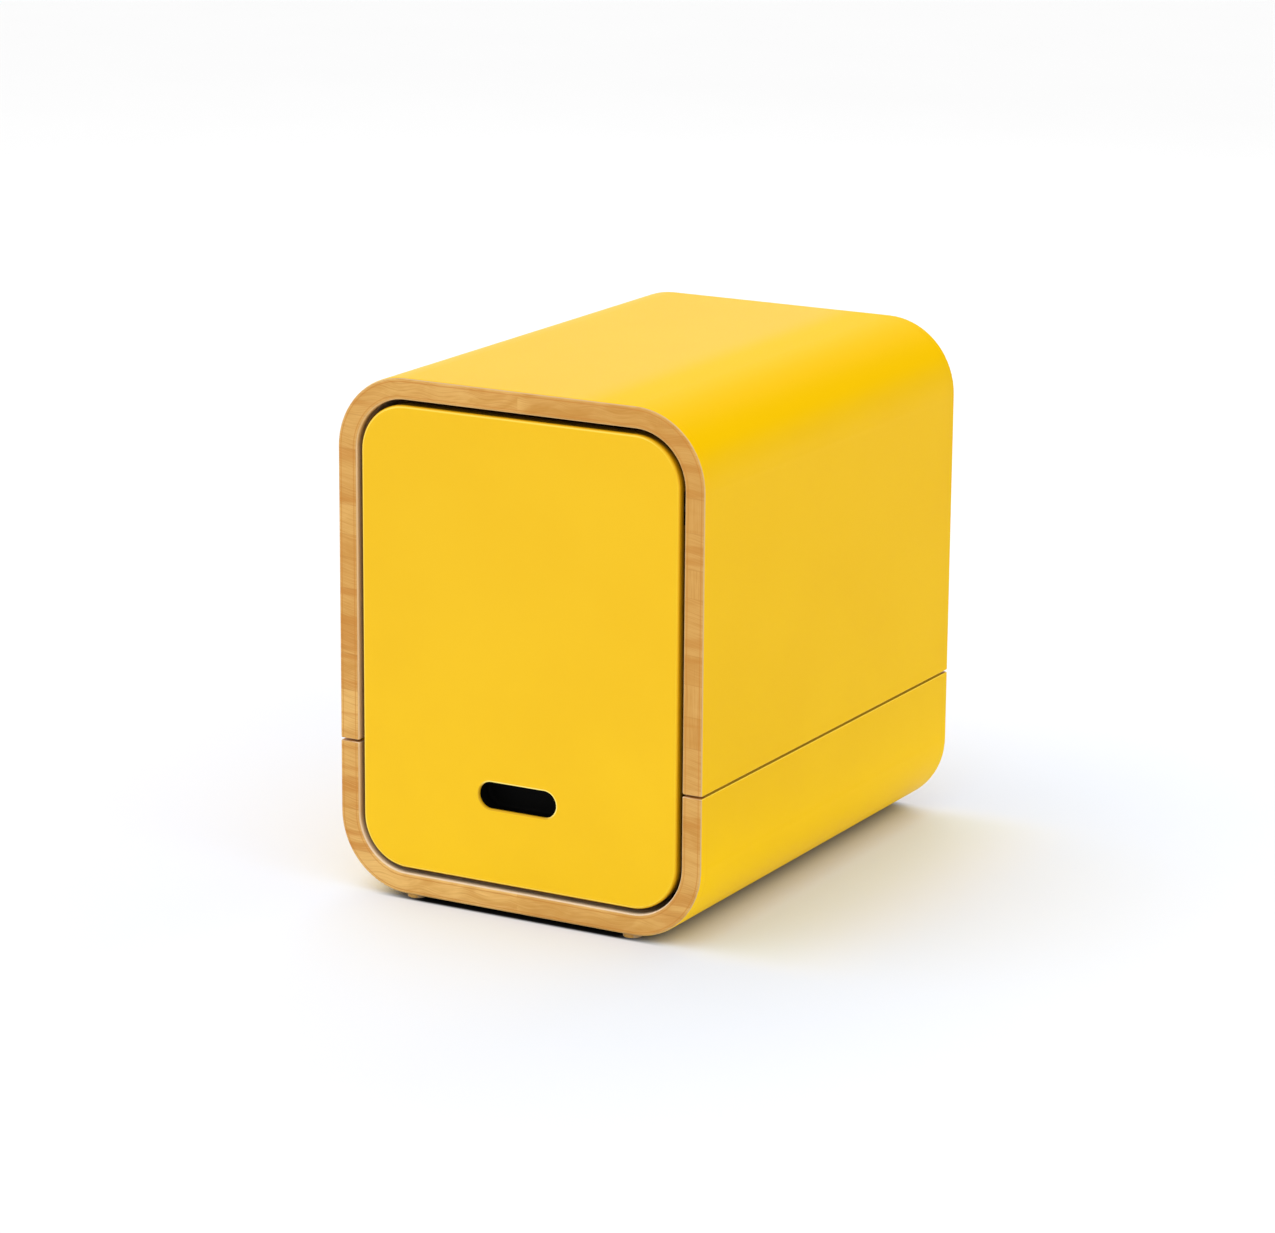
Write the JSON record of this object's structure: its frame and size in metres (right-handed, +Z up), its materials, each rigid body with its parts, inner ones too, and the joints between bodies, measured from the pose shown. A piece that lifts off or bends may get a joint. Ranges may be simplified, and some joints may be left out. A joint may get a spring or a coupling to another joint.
{
  "type": "post box",
  "caption": "Round-cornered wooden box in two halves: a low trough on feet and a lift-off hood, with a top-hung flush front flap opened by a finger slot.",
  "frame": {"origin": "middle of the footprint, on the floor that the feet stand on", "axes": "+X to the right seen from the front, +Y from the front flap to the back panel, +Z up"},
  "size_m": [0.375, 0.5, 0.484],
  "materials": {
    "laminate": "satin",
    "lacquered_panel": "satin",
    "edging_wood": "satin",
    "plywood": "satin",
    "batten_wood": "matte",
    "black_plastic": "matte",
    "steel": "satin",
    "brass": "satin",
    "nylon": "matte",
    "zinc": "satin",
    "felt": "matte"
  },
  "bodies": {
    "trough": {"trough_shell": "plywood", "trough_laminate": "laminate", "trough_front_lipping": "edging_wood", "trough_rear_lipping": "edging_wood", "feet": "edging_wood", "foot_screws": "steel", "locating_dowels": "steel", "seam_washers": "nylon", "sill_rail": "batten_wood", "sill_rail_screws": "steel", "sill_bumpers": "felt"},
    "hood": {"hood_shell": "plywood", "hood_laminate": "laminate", "hood_front_lipping": "edging_wood", "hood_rear_lipping": "edging_wood", "dowel_sleeves": "brass", "pivot_bush_left": "nylon", "pivot_bush_right": "nylon", "stop_batten_left": "batten_wood", "stop_batten_right": "batten_wood", "stop_batten_screws": "steel", "stop_bumpers": "felt", "catch_magnets": "steel", "rear_panel": "lacquered_panel", "rear_batten_left": "batten_wood", "rear_batten_right": "batten_wood", "rear_top_rail": "batten_wood", "rear_batten_screws": "steel", "rear_panel_screws": "steel"},
    "flap": {"front_flap": "lacquered_panel", "finger_cup": "black_plastic", "finger_cup_screws": "steel", "pivot_block_left": "zinc", "pivot_block_right": "zinc", "pivot_pins": "steel", "pivot_block_screws": "steel", "strike_plates": "steel", "strike_screws": "steel"}
  },
  "joints": [
    {"name": "hood_lift", "type": "slide", "parent": "trough", "child": "hood", "axis": [0, 0, 1], "range_m": [0, 0.18]},
    {"name": "flap_swing", "type": "hinge", "parent": "hood", "child": "flap", "pos_m": [0, -0.237, 0.397], "axis": [-1, 0, 0], "range_deg": [0, 90]}
  ]
}
